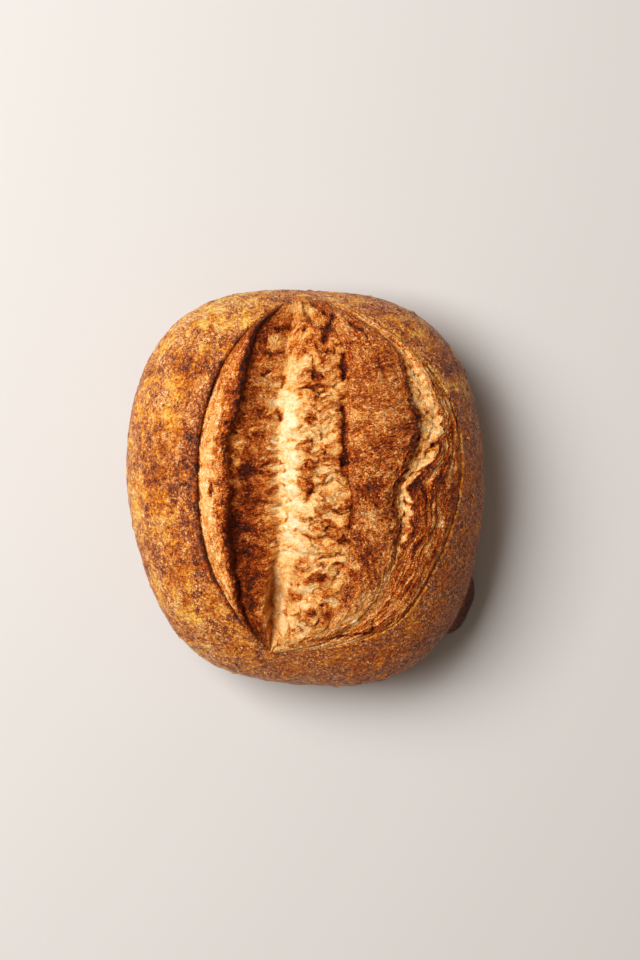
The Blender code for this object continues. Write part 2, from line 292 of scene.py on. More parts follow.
SECTION = (
    # two lines, then for each knot between them:
    # (gap before it in mm, place from the first line to the second, lift in mm, tones)
    (left_skin, ear_tip, (
        (0.0, -0.10, left_skin[:, 2] - 2.8, (0.7, 0.7, 0.7)),
        (1.5, 0.04, left_skin[:, 2] - 1.8, (0.86, 0.80, 0.84)),
        (1.4, 0.13, tip * 0.15 - 0.4, (0.52, 0.35, 0.20, 0.38, 0.66)),
        (5.0, 0.45, tip * 0.46, (0.45, 0.36, 0.27, 0.23, 0.16, 0.25, 0.37, 0.50, 0.7)),
        (5.0, 0.78, tip * 0.84, (0.52, 0.49, 0.46, 0.46, 0.43, 0.45, 0.52, 0.62, 0.8)),
        (2.6, 0.95, tip, (0.60, 0.56, 0.62, 0.58, 0.58, 0.60, 0.78, 0.84, 0.86)),
    )),
    (ear_tip, valley, (
        (2.0, 0.02, tip * 0.9, (0.66, 0.72, 0.78, 0.78, 0.72, 0.84, 1.00, 0.92, 0.82)),
        (1.5, 0.06, tip * 0.45 - 0.4, (0.74, 0.80, 0.88, 0.86, 0.74, 0.82, 0.98, 0.92, 0.82)),
        (2.2, 0.075, low * (0.10 + 0.20 * hollow - 0.08 * cliff),
         (0.76, 0.78, 0.84, 0.80, 0.66, 0.62, 0.62, 0.64, 0.66)),
        (3.6, 0.17, low * (0.27 + 0.16 * hollow - 0.25 * cliff),
         (0.66, 0.70, 0.76, 0.74, 0.66, 0.56, 0.53, 0.54, 0.54)),
        (6.0, 0.35, low * (0.50 + 0.08 * hollow - 0.36 * cliff), (0.64, 0.77, 0.71, 0.56, 0.50)),
        (9.0, 0.61, low * (0.74 - 0.50 * cliff), (0.56, 0.66, 0.59, 0.48, 0.42)),
        (7.5, 0.84, low * (0.88 - 0.62 * cliff), (0.40, 0.42, 0.33, 0.31, 0.40)),
        (1.8, 0.95, low - 0.4 * fade, (0.44, 0.30, 0.21, 0.21, 0.42)),
        # Near the near end this knot and the next are darker than pale crumb: painted shade at the cliff's
        # foot.
        (1.6, 1.00, low - 0.3 * fade, (0.30, 0.32, 0.25, 0.20, 0.16, 0.14, 0.10, 0.22, 0.46)),
    )),
    (valley, mid_ridge, (
        (4.0, 0.10, low + (2.0 + 0.6 * cliff) * fade, (0.28, 0.25, 0.17, 0.11, 0.08, 0.06, 0.05, 0.22, 0.48)),
        (6.5, 0.28, low + (7.0 + 3.0 * cliff) * fade, (0.26, 0.18, 0.14, 0.12, 0.10, 0.09, 0.12, 0.28, 0.48)),
        (4.0, 0.40, mid - (3.2 + 4.0 * cliff) * fade, (0.26, 0.13, 0.16, 0.18, 0.46)),
        (10.0, 0.66, mid - (1.8 + 0.6 * cliff) * fade, (0.22, 0.17, 0.19, 0.20, 0.46)),
        (9.0, 0.92, mid - 0.2, (0.24, 0.26, 0.28, 0.28, 0.46)),
        (2.4, 1.00, mid, (0.26, 0.34, 0.48, 0.46, 0.44)),
    )),
    (mid_ridge, tear_edge, (
        (2.0, 0.05, mid - 1.0 * cracked, (0.30, 0.46, 0.58, 0.54, 0.46)),
        (4.0, 0.16, mid + 0.6 * fade, (0.32, 0.52, 0.58, 0.52, 0.48)),
        (10.0, 0.52, (mid + edge) / 2 + 2.0 * fade, (0.34, 0.53, 0.55, 0.51, 0.48)),
        (9.0, 0.89, edge + 0.9 * fade, (0.34, 0.52, 0.58, 0.56, 0.48)),
        (3.0, 0.94, edge + 0.5 * fade, (0.34, 0.40, 0.48, 0.58, 0.68, 0.84, 0.84, 0.62, 0.5)),
        (2.0, 1.00, edge - 0.3, (0.34, 0.40, 0.48, 0.60, 0.72, 0.84, 0.80, 0.58, 0.5)),
    )),
    (tear_edge, right_skin, (
        (1.4, 0.02, tear_floor + 0.6 * opened, (0.34, 0.44, 0.45, 0.44, 0.46)),
        (5.0, tear_share * 0.45, tear_floor, (0.33, 0.40, 0.20, 0.20, 0.44)),
        (5.0, tear_share * 0.8, edge - 2.0 * opened, (0.32, 0.38, 0.10, 0.13, 0.44)),
        (2.0, tear_share * 0.97, edge - 0.4 * opened, (0.32, 0.42, 0.18, 0.24, 0.46)),
        (1.6, tear_share + 0.03, edge - 0.2, (0.32, 0.36, 0.44, 0.72, 0.76, 0.72, 0.32, 0.40, 0.48)),
        (4.0, tear_share * 0.8 + 0.18, edge - 0.4, (0.31, 0.36, 0.46, 0.64, 0.68, 0.58, 0.34, 0.40, 0.48)),
        (10.0, tear_share * 0.45 + 0.5, rim_lift + 0.4 * fade,
         (0.30, 0.36, 0.43, 0.50, 0.56, 0.44, 0.30, 0.32, 0.42)),
        (8.0, 0.88, rim_lift - 0.1, (0.32, 0.42, 0.48, 0.34, 0.42)),
        (2.0, 0.965, rim_lift - 0.8 + 0.7 * healed, (0.48, 0.54, 0.58, 0.52, 0.5)),
        (1.4, 1.04, rim_lift - 2.2 + 1.0 * healed, (0.6, 0.6, 0.6, 0.6, 0.5)),
    )),
)
places = np.cumsum([row[0] for _, _, rows in SECTION for row in rows])
knots = np.array([knot(a, b, *row[1:]) for a, b, rows in SECTION for row in rows])
print("section:", len(knots), "knots over", places[-1], "mm")

# %% [markdown]
# ## Filling in between the knots
#
# Straight lines between knots would fold the crumb like paper, and a plain smooth curve would overshoot at
# the ear. A monotone cubic does neither: it rounds each knot and never goes past it. Columns of the mesh
# are spread over the section about every half millimetre, a little closer than the picture's pixels.

# %% Columns across the section
COLUMN_STEP = 0.53


def monotone(knots, knots_at, at):
    """A monotone cubic through rows of knots, read at new places."""
    rise = np.diff(knots, axis=0) / np.diff(knots_at)[:, None, None]
    before, after = rise[:-1], rise[1:]
    same_way = before * after > 0
    mean = np.where(same_way, 2 * before * after / np.where(same_way, before + after, 1.0), 0.0)
    return cubic(knots, np.concatenate((rise[:1], mean, rise[-1:])), knots_at, at)


column_places = np.linspace(0.0, places[-1], round(places[-1] / COLUMN_STEP) + 1)
sheet = monotone(knots, places, column_places)
COLUMNS = len(column_places) - 1
print("sheet:", COLUMNS, "x", STATIONS, "cells")

# %% [markdown]
# ## The relief of torn crumb
#
# Each zone of the section tears in its own way. The brown slope and the crumb beyond the valley are flaky:
# each flake stands at its own level and leans its own way. The raft keeps its skin, so it is only lumpy. The
# streaked slope on the right was stretched lengthwise. A zone is a smooth window over the section, and its
# relief is noise with a grain that fits.

# %% Zones
across, along = np.meshgrid(column_places, v * LOAF_RUN, indexing="ij")


def zone(start, end, soft=2.0):
    """A window over the section that is 1 between two knots."""
    low, high = places[start], places[end]
    return step_up(across, low - soft, low + soft) * (1 - step_up(across, high - soft, high + soft))


# Knots are counted from 0 across the section.
strip = zone(1, 5, 1.0)
rough_top = zone(3, 5, 2.5)
crest = zone(5, 7, 1.0)
slope = zone(8, 13)
slope_top = zone(8, 11)
pale = zone(14, 16)
flaky = zone(16, 20)
raft = zone(21, 26)
tear = zone(27, 30, 1.0) * opened
streaks = zone(32, 35)
print("the raft covers", (raft > 0.5).mean().round(2), "of the section")

# %% Relief
flat = np.stack((across, along, np.zeros_like(across)), axis=-1)
bend = grain(flat, 16.0, 30.0, 2)
swirled = flat + np.stack((2.5 * bend, 5.0 * bend, np.zeros_like(bend)), axis=-1)
# Relief and noise in the tones fade out towards both ends of the score.
ends = np.sin(math.pi * v)[None, :] ** 0.5
wobble = np.stack((grain(flat, 2.2, 31.0, 2), grain(flat, 2.2, 32.0, 2), np.zeros_like(bend)), axis=-1)
level, lean = flakes(swirled + 1.2 * wobble, (9.5, 5.0, 9.0), 4.0)
fibres = ridges(swirled, (9.0, 1.8, 9.0), 1.0, 2)
lumps = grain(flat, 9.0, 2.0, 2)
strands = ridges(swirled, (15.0, 6.0, 9.0), 3.0, 2)
chunks = plates(swirled, (5.0, 3.4, 9.0), 14.0, 5.0)
crumbs = grain(flat, 3.0, 5.0, 3)
specks = grain(flat, 1.5, 15.0, 2)
drawn = ridges(swirled, (4.2, 40.0, 9.0), 6.0, 2)
pits = np.maximum(-grain(flat, 2.4, 7.0, 2) - 0.12, 0.0)

relief = ends * (
    strip * (0.5 * drawn + 0.8 * lumps + 0.3 * crumbs)
    + strip * rough_top * (0.4 * chunks + 0.5 * crumbs + 0.5 * specks)
    + crest * (1.0 * crumbs + 0.5 * lumps + 0.5 * specks)
    + slope * (0.7 * fibres + 1.3 * lumps + 0.4 * level + 1.5 * lean + 0.6 * crumbs + 0.3 * specks)
    + pale * (0.8 * lumps + 0.6 * crumbs + 0.3 * specks + 0.5 * lean - 1.4 * pits)
    + flaky * (0.7 * strands + 0.7 * level + 3.0 * lean + 0.4 * crumbs + 0.25 * specks + 0.25 * fibres)
    + raft * (1.0 * lumps + 1.0 * crumbs + 0.6 * specks)
    + tear * (0.5 * crumbs + 0.7 * chunks - 2.8 * pits)
    + streaks * (1.0 * drawn + 0.8 * lumps + 0.6 * crumbs + 0.4 * specks)
)
relief[(across < places[1]) | (across > places[-2])] = 0.0
print("relief from", relief.min().round(1), "to", relief.max().round(1), "mm")

# %% [markdown]
# ## The tones of torn crumb
#
# Knots alone would give each tone a border as smooth as a pipe. So the tones of the section are read a little
# to one side here and there, and only the ear's face keeps its straighter borders. The noise that shapes the
# crumb also bakes it: a flake's raised side and the crest of a streak are darker than the rest, and the pits
# in the tear are darkened as painted shade.

# %% Tones of the crumb
stray = 3.2 * grain(flat, (9.0, 2.2, 9.0), 41.0, 3) + 1.6 * grain(flat, 2.4, 42.0, 2)
stray *= 1 - 0.8 * strip
reader = np.arange(COLUMNS + 1)[:, None] + np.rint(ends * stray / COLUMN_STEP).astype(int)
section_tone = np.take_along_axis(sheet[:, :, 3], np.clip(reader, 0, COLUMNS), axis=0)

patches = grain(flat, 14.0, 8.0, 2)
toasted = grain(swirled, (8.0, 4.0, 9.0), 10.0, 3)
strokes = grain(swirled, (1.6, 2.6, 9.0), 16.0, 2)
tone = section_tone + ends * (
    strip * (0.10 * patches + (0.14 + 0.16 * rough_top) * toasted + 0.06 * drawn + 0.05 * chunks * rough_top)
    + slope * (0.14 * patches + 0.22 * toasted + 0.07 * level + 0.22 * lean - 0.07 * fibres + 0.03)
    + pale * (0.03 + 0.06 * patches + 0.12 * toasted + 0.06 * lean - 0.04 * fibres)
    + flaky * (-0.03 + 0.28 * toasted + 0.12 * patches + 0.08 * level + 0.28 * lean + 0.06 * strokes)
    + raft * (0.22 * patches + 0.20 * toasted + 0.06 * strokes)
    # Painted shade: pits in the tear are darker
    + tear * (0.22 * toasted + 0.05 * chunks + 0.6 * pits)
    + streaks * (0.28 * drawn + 0.16 * patches + 0.16 * toasted + 0.04 * strokes - 0.09)
)
print("tones from", tone.min().round(2), "to", tone.max().round(2))

# %% [markdown]
# ## Toast on edges, and painted shade in crevices
#
# Hot air browns what stands proud and what is thin, such as the steep edge of a flake. The crevices between
# the flakes are darkened to a warm brown as painted shade, and on steep flanks the browning also stands in
# for shade. So each point is compared with the mean of its surroundings and its steepness is read, and both
# are added to its tone. On the raft, bumps are lighter and hollows darker, as painted highlight and shade.

# %% Toast edges, and paint shade into crevices
def blurred(field, reach):
    """The mean of a field over a square window of reach cells each way."""
    size = 2 * reach + 1
    for axis in (0, 1):
        padded = np.concatenate((np.repeat(field.take([0], axis), reach + 1, axis), field,
                                 np.repeat(field.take([-1], axis), reach, axis)), axis)
        sums = np.cumsum(padded, axis)
        field = (sums.take(range(size, sums.shape[axis]), axis)
                 - sums.take(range(sums.shape[axis] - size), axis)) / size
    return field


# The surroundings reach this many cells each way.
NEARBY = 4

proud = relief - blurred(relief, NEARBY)
rise_across, rise_along = np.gradient(relief, column_places, v * LOAF_RUN)
steep = np.clip(np.hypot(rise_across, rise_along) - 0.30, 0.0, 1.2)
tone += 0.08 * np.clip(proud, 0.0, 0.8) * (flaky + 0.6 * slope + 0.4 * strip)
# Painted shade: crevices darken towards a warm brown
tone += 0.32 * np.clip(-proud, 0.0, 0.9) * (flaky + 0.6 * pale + 0.25 * tear + 0.3 * slope)
# Steep flanks brown as thin edges do, and this also serves as painted shade on them
tone += 0.18 * steep * (flaky + 0.5 * pale + 0.3 * tear)
# Painted highlight and shade on the raft: its bumps are lighter, its hollows darker
tone -= 0.12 * np.clip(proud, -0.8, 0.8) * raft
print("proud up to", proud.max().round(1), "mm; steepness up to", steep.max().round(1))

# %% [markdown]
# ## Scorches, pale patches and cracks
#
# Some marks are too particular for noise. Dark spots show where a flake stood proud, and pale patches where
# the crumb tore late: each is an oval in plan with a ragged edge. A few ovals are painted light instead:
# shade under the ear's overhang, a band at the far end that is partly the ear's burnt underside and partly
# painted shadow, a glint on the raft and a lit flake on the slope. Narrow cracks opened along the ridge and
# between
# the flakes: each follows a straight line in plan, sinks, and is burnt along its lips; in two of them the
# dark is painted shade. The pits of burst bubbles are darkened as painted shade too. At last each zone gets
# a lightest and a darkest tone, which all of these fade towards and never pass.

# %% Marks and cracks on the bloom
# (x, y, half width, half length, turn in degrees, change of tone, change of lift), in mm
MARKS = (
    # far end
    (-2, 103, 9.5, 2.8, -8, -0.14, 0.5), (-8, 89, 3.9, 2.5, 0, -0.12, -1.2),
    (4, 88, 7.8, 5.0, 0, -0.02, 1.0), (-17, 85, 2.8, 4.4, -20, -0.26, 0.8),
    (-18, 77, 7.8, 2.8, 20, 0.12, 1.4), (-13, 68, 5.0, 2.2, 15, 0.02, 1.4),
    (-5, 71, 4.4, 3.3, 0, -0.06, 0.4), (-1, 56, 4.4, 5.0, 0, 0.04, 0.8),
    (6, 62, 2.2, 5.0, 20, 0.30, -0.3), (12, 65, 3.9, 3.9, 0, -0.14, 0.6), (4, 50, 5.0, 3.3, 0, 0.18, 0.3),
    (14, 47, 3.3, 5.6, 0, -0.10, 0.5), (10, 105, 6.7, 1.7, -35, 0.22, 0.2),
    (-10, 97, 3.6, 2.0, 30, 0.14, 0.6), (0, 95, 4.4, 2.2, -20, 0.14, 0.8), (-5, 87, 3.3, 2.8, 10, 0.12, 0.7),
    (-4, 79, 4.6, 1.8, -25, 0.14, 0.8), (2, 80, 3.0, 3.0, 0, 0.12, -0.5),
    # a dark band beside the ear's crest: partly its burnt underside, partly painted shadow of the overhang
    (-26, 82, 3.4, 15.0, -28, 0.26, 0.0),
    # slope
    # the raised flake at (-26, 62) is lightened as a painted highlight
    (-26, 62, 2.8, 2.8, 0, -0.30, 0.8), (-22, 52, 5.0, 2.8, 25, -0.12, 0.8),
    (-30, 50, 2.2, 5.6, 0, 0.14, 0.0), (-18, 47, 2.8, 4.4, 40, -0.15, 0.5),
    (-29, 34, 4.4, 1.7, 15, -0.22, 0.8), (-36, 25, 2.8, 2.8, 0, -0.20, 0.8),
    (-30, 22, 2.8, 2.2, 0, -0.18, 0.6), (-35, 10, 4.4, 3.3, 0, 0.18, -0.6),
    (-37, 15, 3.9, 1.1, 20, -0.28, 0.6), (-39, 4, 3.3, 2.2, 0, -0.30, 0.8),
    # the dark oval at (-40, -22) is painted shade under the ear's overhang
    (-40, -22, 3.3, 6.7, 0, 0.22, -0.5), (-33, -27, 4.4, 1.7, 10, -0.16, 0.6),
    (-24, 21, 3.9, 1.9, 25, -0.14, 0.5),
    # middle
    (4, 40, 2.8, 3.3, -30, 0.42, -0.4), (-3, 36, 9.5, 2.8, -38, -0.16, 1.0),
    (4, 30, 3.3, 2.2, -20, -0.12, 0.6), (1, 22, 5.6, 2.2, 0, 0.20, 0.2),
    (3, 13, 2.8, 4.4, 0, 0.20, 0.4), (4, 4, 3.1, 4.4, -12, 0.26, 0.3),
    (14, 11, 4.4, 5.6, 0, -0.14, 0.5), (7, -7, 6.7, 3.3, 0, -0.18, 1.2),
    (10, -14, 6.7, 1.7, -15, 0.14, 0.2), (-1, -11, 5.0, 2.8, 0, -0.08, 0.5),
    (12, -17, 5.6, 1.2, -25, 0.35, -0.8),
    # bubbles burst along the foot of the slope, their pits darkened as painted shade
    (-14, 15, 0.8, 0.8, 0, 0.45, -0.6), (-12, 11, 0.7, 0.8, 0, 0.40, -0.6), (-12, 3, 0.7, 0.7, 0, 0.40, -0.6),
    (-9, -6, 0.6, 0.6, 0, 0.40, -0.6), (-15, -24, 0.8, 0.7, 0, 0.40, -0.6),
    (-17, -29, 0.7, 0.7, 0, 0.40, -0.6), (-16, -32, 0.7, 0.9, 0, 0.40, -0.6),
    # near end
    (2, -21, 7.8, 3.3, -20, -0.22, 1.4), (4, -26, 7.8, 1.1, -20, 0.24, -0.9),
    (0, -32, 6.7, 3.9, -15, -0.14, 1.0), (3, -42, 7.8, 3.3, 0, 0.18, 0.6),
    (14, -40, 2.8, 2.8, 0, -0.08, 0.4), (10, -50, 8.9, 1.4, 3, 0.28, -0.4),
    (20, -44, 1.7, 2.8, 0, 0.36, -0.5), (-3, -57, 8.3, 1.7, 5, -0.12, 0.6),
    (2, -64, 5.0, 2.5, 0, -0.22, 0.8), (11, -61, 3.3, 4.4, 0, 0.10, 0.0),
    (12, -71, 3.3, 2.8, 0, 0.34, 0.2), (-8, -76, 4.4, 2.8, 0, -0.10, 0.4),
    (28, -74, 2.2, 1.7, 0, -0.30, 0.2),
    # raft
    # the small pale dot at (35, 22) is a painted glint
    (35, 22, 1.1, 1.1, 0, -0.30, 0.2), (26, 41, 4.4, 5.6, 0, -0.12, 0.3),
    (39, 67, 7.8, 5.6, 0, 0.08, 0.3), (37, 2, 4.4, 2.8, 0, 0.16, 0.2), (33, -6, 7.8, 5.6, 0, 0.07, 0.2),
    (24, -17, 2.8, 6.7, 0, 0.16, 0.2), (29, -42, 4.4, 2.2, 0, -0.18, 0.3),
    (44, 36, 5.6, 6.7, 0, -0.05, 0.2),
    # far edge of the second tear
    (72, 23, 2.2, 4.4, 20, 0.20, 0.4), (70, 11, 3.3, 6.7, 20, 0.12, 0.5), (62, 1, 3.3, 2.2, 20, 0.14, 0.4),
    (64, -10, 2.8, 6.7, -5, 0.08, 0.5), (58, -23, 3.9, 2.8, 30, 0.20, 0.3),
)
# (start x, start y, end x, end y, half width, depth, change of tone), in mm
CRACKS = (
    (21.3, 74.4, 21.8, 61.3, 1.3, 2.6, 0.50), (21.2, 45.1, 22.0, 10.8, 1.2, 2.0, 0.42),
    (15.8, 96.6, 10.7, 83.6, 1.3, 2.6, 0.42), (25.3, 93.0, 32.0, 88.4, 1.0, 1.2, 0.36),
    (33.7, 86.6, 38.1, 78.0, 0.7, 1.0, 0.16), (38.1, 78.0, 44.1, 62.1, 0.7, 1.0, 0.14),
    (6.2, 79.5, 14.0, 76.1, 0.9, 1.6, 0.35), (5.6, 68.7, 5.1, 61.9, 0.9, 1.6, 0.35),
    (1.8, 57.9, 5.7, 55.1, 1.1, 1.2, 0.30), (5.1, 1.9, 2.4, -4.2, 1.1, 0.8, 0.20),
    (7.3, -5.8, 18.4, -12.4, 0.9, 1.2, 0.24), (-2.6, -16.9, 13.9, -24.0, 0.9, 1.2, 0.24),
    (-4.8, -22.4, 11.2, -32.4, 0.9, 1.2, 0.24), (-9.2, 106.4, -0.1, 109.1, 0.7, 1.0, 0.30),
    (-0.1, 109.1, 8.4, 108.5, 0.7, 1.0, 0.30), (-50.9, 2.4, -50.9, -3.4, 0.9, 1.8, 0.50),
    (-2.8, -85.0, 37.5, -80.4, 0.8, 1.0, 0.22), (37.5, -74.1, 41.0, -84.6, 1.2, 1.4, 0.28),
    (57.9, -2.0, 64.1, 6.3, 1.4, 1.2, 0.30), (-2.7, -61.4, 14.0, -64.8, 0.9, 1.1, 0.20),
    (-4.9, -45.7, 11.7, -49.1, 0.9, 1.1, 0.20), (-12.1, 65.3, -13.2, 59.6, 1.0, 1.6, 0.42),
    (-20.6, 76.6, -11.7, 80.7, 0.9, 1.2, 0.20), (-23.8, 65.3, -13.8, 70.9, 1.0, 1.2, 0.20),
    (16.3, 81.8, 25.2, 80.7, 0.8, 1.2, 0.28), (-27.6, 49.6, -18.2, 54.0, 0.9, 1.0, 0.16),
    (7.3, 29.5, 22.2, 26.2, 0.8, 1.0, 0.16), (9.5, 14.1, 19.5, 10.8, 0.8, 1.0, 0.16),
    # the cracks at (-16.3, 91.2) and (-14.8, 45.1) are darkened as painted shade in gaps
    (-16.3, 91.2, -7.9, 94.1, 1.0, 1.8, 0.40), (-9.3, 28.4, 7.3, 26.2, 0.9, 1.2, 0.30),
    (-14.8, 45.1, -14.3, 41.2, 1.2, 2.0, 0.60), (-3.0, 109.7, 18.0, 95.4, 0.9, 0.8, 0.24),
    (-11.0, 90.0, 0.0, 91.0, 0.8, 0.8, 0.24), (-9.0, 82.0, 3.0, 84.0, 0.8, 0.9, 0.24),
    (3.5, -0.3, -0.4, -4.7, 0.9, 0.6, 0.20), (-10.2, -13.0, -11.5, -18.5, 0.6, 0.8, 0.35),
)
# A crack's scorch is this much wider than the crack.
SCORCH_WIDER = 1.3
# How gently the tones level off at the lightest and the darkest.
LIGHT_EASE = 0.04
DARK_EASE = 0.03

ragged_x = sheet[:, :, 0] + 1.5 * grain(flat, 5.0, 11.0, 2) + 0.7 * grain(flat, 1.8, 17.0)
ragged_y = sheet[:, :, 1] + 1.5 * grain(flat, 5.0, 12.0, 2) + 0.7 * grain(flat, 1.8, 18.0)
for x, y, half_width, half_length, turn, darker, higher in MARKS:
    c, s = math.cos(math.radians(turn)), math.sin(math.radians(turn))
    beside = ((ragged_x - x) * c + (ragged_y - y) * s) / half_width
    beyond = ((ragged_y - y) * c - (ragged_x - x) * s) / half_length
    mark = np.exp(-((beside**2 + beyond**2) ** 2) / 2)
    tone += darker * mark
    relief += higher * mark
for x0, y0, x1, y1, half_width, depth, darker in CRACKS:
    length_squared = (x1 - x0) ** 2 + (y1 - y0) ** 2
    t = np.clip(((ragged_x - x0) * (x1 - x0) + (ragged_y - y0) * (y1 - y0)) / length_squared, 0.0, 1.0)
    gap_squared = (ragged_x - x0 - t * (x1 - x0)) ** 2 + (ragged_y - y0 - t * (y1 - y0)) ** 2
    relief -= depth * np.exp(-gap_squared / half_width**2)
    tone += darker * np.exp(-gap_squared / (SCORCH_WIDER * half_width) ** 2)
lightest = 0.06 + 0.27 * streaks + 0.20 * slope_top + 0.13 * tear + 0.11 * flaky + 0.15 * strip
darkest = 0.87 + 0.13 * crest
tone = lightest + np.logaddexp(0.0, (tone - lightest) / LIGHT_EASE) * LIGHT_EASE
tone = darkest - np.logaddexp(0.0, (darkest - tone) / DARK_EASE) * DARK_EASE
print(len(MARKS), "marks and", len(CRACKS), "cracks")

# %% [markdown]
# ## The bloom as a mesh
#
# `create_grid` makes the sheet, and its vertices are then laid on the section. Each vertex finds its cell
# by its own flat coordinates, whatever the order of the vertices. The sheet's rim is extruded down into the
# loaf and closed, so that the bloom is a solid slab of crumb and not a skin of no thickness.

# %% Mesh helpers
CENTRE = outline_centre()
SLAB_DEPTH = 25.0
# Vertices closer than this are one.
SAME_PLACE = 0.002


def new_piece(name, bm):
    """Turns a bmesh in millimetres round the loaf's centre into an object of the scene."""
    bmesh.ops.translate(bm, verts=bm.verts, vec=Vector(-CENTRE))
    bmesh.ops.scale(bm, verts=bm.verts, vec=(MM, MM, MM))
    bmesh.ops.recalc_face_normals(bm, faces=bm.faces)
    mesh = bpy.data.meshes.new(name)
    bm.to_mesh(mesh)
    bm.free()
    mesh.shade_smooth()
    piece = bpy.data.objects.new(name, mesh)
    bpy.context.scene.collection.objects.link(piece)
    print(name, "has", sum(len(face.vertices) - 2 for face in mesh.polygons), "triangles")
    return piece


def flat_sheet(columns, rows):
    """A flat grid, with the column and the row of each of its vertices."""
    bm = bmesh.new()
    bmesh.ops.create_grid(bm, x_segments=columns, y_segments=rows, size=1.0)
    cells = [((vert.co.x + 1) / 2 * columns, (vert.co.y + 1) / 2 * rows) for vert in bm.verts]
    return bm, *np.rint(cells).astype(int).T


def lay_out(bm, positions):
    """Moves each vertex to its own position and merges those that meet."""
    for vert, position in zip(bm.verts, positions.tolist()):
        vert.co = position
    bmesh.ops.remove_doubles(bm, verts=bm.verts, dist=SAME_PLACE)


def sink_rim(bm, edges, inset):
    """Extrudes an open rim down into the loaf, scaled by inset in plan, and closes it there."""
    grown = bmesh.ops.extrude_edge_only(bm, edges=edges)["geom"]
    rim = [item for item in grown if isinstance(item, bmesh.types.BMEdge) and item.is_boundary]
    for vert in {vert for edge in rim for vert in edge.verts}:
        vert.co = (vert.co.x * inset, vert.co.y * inset, vert.co.z - SLAB_DEPTH)
    bmesh.ops.contextual_create(bm, geom=rim)


def floats_on(bm, name, values):
    """Stores one number for each vertex as an attribute of the mesh."""
    layer = bm.verts.layers.float.new(name)
    for vert, value in zip(bm.verts, values.tolist()):
        vert[layer] = value


# %% Build the bloom
BLOOM_INSET = 0.97
# The top of the crown has no direction of its own, so normals are read no nearer to it than this sweep.
LEAST_SWEEP = 0.02

x, y = sheet[:, :, 0], sheet[:, :, 1]
angle, sweep = np.arctan2(y, x), crown_sweep(x, y)
normals = body_normals(angle, np.maximum(sweep, LEAST_SWEEP))
surface = body_points(angle, sweep) + normals * (sheet[:, :, 2] + relief)[..., None]

bm, column, row = flat_sheet(COLUMNS, STATIONS)
floats_on(bm, "bake", tone[column, row])
floats_on(bm, "fibre", (slope + flaky + 0.8 * pale)[column, row])
floats_on(bm, "streak", (streaks + 0.7 * strip)[column, row])
floats_on(bm, "skin", raft[column, row])
uv = bm.loops.layers.uv.new("score")
for face in bm.faces:
    for loop in face.loops:
        cell = ((loop.vert.co.x + 1) / 2, (loop.vert.co.y + 1) / 2)
        loop[uv].uv = (cell[0] * places[-1] / LOAF_RUN, cell[1])
lay_out(bm, surface[column, row])
sink_rim(bm, [edge for edge in bm.edges if edge.is_boundary], BLOOM_INSET)
bloom = new_piece("bloom", bm)

# %% [markdown]
# ## The outer crust
#
# The crust is a cup that grows from the rim of the bloom: a rolled lip where the skin tore, then the crown,
# the waist, the flank and the base. It is also a grid, bent round into a ring and closed at its seam. Every
# column keeps its angle round the loaf, and its rows run down the sweep. Rows are close together at the
# lip and on the crown, where the picture looks, and wider under the waist.

# %% Shape the crust
AROUND = 640
LIP_PROFILE = (
    # (reach outwards, lift) of the rolled edge, in mm
    (-0.9, -4.5), (-0.7, -2.2), (-0.5, -0.6), (-0.2, 0.35), (0.2, 0.7), (0.8, 0.8), (1.6, 0.65), (2.6, 0.45),
)
CROWN_ROWS = 96
CROWN_END = math.pi / 2 + 0.15
FLANK_ROWS = 40
# The rolled lip and the lines' own lifts fade into the plain skin over these lengths.
LIP_FADE = 4.0
LIFT_FADE = 7.0

theta = np.linspace(-math.pi, math.pi, AROUND + 1)
edge = np.concatenate((right_skin[:, :3], left_skin[::-1, :3]))
edge_angle = np.arctan2(edge[:, 1], edge[:, 0])
edge_sweep = crown_sweep(edge[:, 0], edge[:, 1])
order = np.argsort(edge_angle)
edge_angle, edge_sweep, edge_lift = edge_angle[order], edge_sweep[order], edge[order, 2]
first = np.interp(theta, edge_angle, edge_sweep, period=2 * math.pi)
lip_lift = np.interp(theta, edge_angle, edge_lift, period=2 * math.pi)
sweep_step = 0.02
moved = body_points(theta, first + sweep_step) - body_points(theta, first)
mm_per_sweep = np.linalg.norm(moved, axis=-1) / sweep_step

reach = np.array([place for place, _ in LIP_PROFILE])
lip_sweeps = first[:, None] + reach[None, :] / mm_per_sweep[:, None]
to_waist = np.linspace(0.0, 1.0, CROWN_ROWS + 1)[1:]
crown_sweeps = lip_sweeps[:, -1:] + (CROWN_END - lip_sweeps[:, -1:]) * to_waist
to_base = np.linspace(0.0, 1.0, FLANK_ROWS + 1)[1:]
flank_sweeps = crown_sweeps[:, -1:] + (math.pi - crown_sweeps[:, -1:]) * to_base
sweeps = np.concatenate((lip_sweeps, crown_sweeps, flank_sweeps), axis=1)
thetas = np.repeat(theta[:, None], sweeps.shape[1], axis=1)
plain = body_points(thetas, sweeps)
outward = body_normals(thetas, sweeps)

away = np.maximum(sweeps - first[:, None], 0.0) * mm_per_sweep[:, None]
fall_off = np.exp(-away / LIFT_FADE)
lifts = 0.5 * np.exp(-(away - reach[-1]) / LIP_FADE)
lifts[:, :len(LIP_PROFILE)] = [lift for _, lift in LIP_PROFILE]
lifts += lip_lift[:, None] * fall_off
